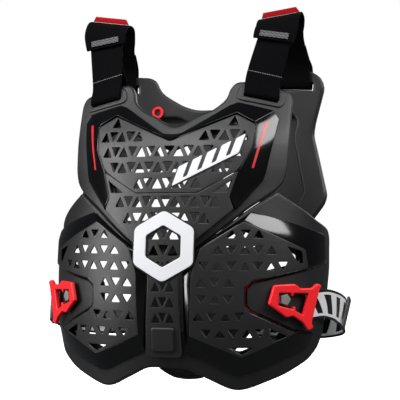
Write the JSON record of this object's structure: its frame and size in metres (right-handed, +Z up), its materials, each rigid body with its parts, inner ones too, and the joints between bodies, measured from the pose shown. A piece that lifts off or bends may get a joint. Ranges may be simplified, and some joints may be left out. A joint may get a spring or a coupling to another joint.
{
  "type": "roost deflector",
  "caption": "Worn motocross chest and back protector with pierced dark shells on foam, shoulder webs, red side buckles and white badges.",
  "frame": {"origin": "midway between the two shoulder straps, level with the underside of their crowns, where the vest hangs on the shoulders", "axes": "+Z up, -Y to the front, +X to the wearer's left"},
  "size_m": [0.4328, 0.2269, 0.5105],
  "materials": {
    "foam": "matte padded foam",
    "gloss_shell": "polished moulding",
    "matte_shell": "fine grained moulding",
    "webbing": "woven webbing",
    "red_web": "woven tab",
    "red_plastic": "satin moulding",
    "stud": "grained stud",
    "grip": "printed grip",
    "white_plastic": "satin white badge",
    "white_strap": "printed webbing",
    "black_plastic": "moulded slider"
  },
  "bodies": {
    "root": {"chest_foam": "foam", "belly_foam": "foam", "chest_shell": "gloss_shell", "upper_plate": "matte_shell", "sternum_plate": "matte_shell", "emblem": "white_plastic", "chest_flash": "white_plastic", "back_foam": "foam", "back_shell": "matte_shell", "rib_shell_left": "gloss_shell", "front_web_left": "webbing", "back_web_left": "webbing", "pull_tab_left": "red_web", "buckle_left": "red_plastic", "stud_left": "stud", "grip_patch_left": "grip", "side_strap_left": "white_strap", "slider_left": "black_plastic", "collar_ring_left": "red_plastic", "rib_shell_right": "gloss_shell", "front_web_right": "webbing", "back_web_right": "webbing", "pull_tab_right": "red_web", "buckle_right": "red_plastic", "stud_right": "stud", "grip_patch_right": "grip", "side_strap_right": "white_strap", "slider_right": "black_plastic", "collar_ring_right": "red_plastic"}
  },
  "joints": []
}
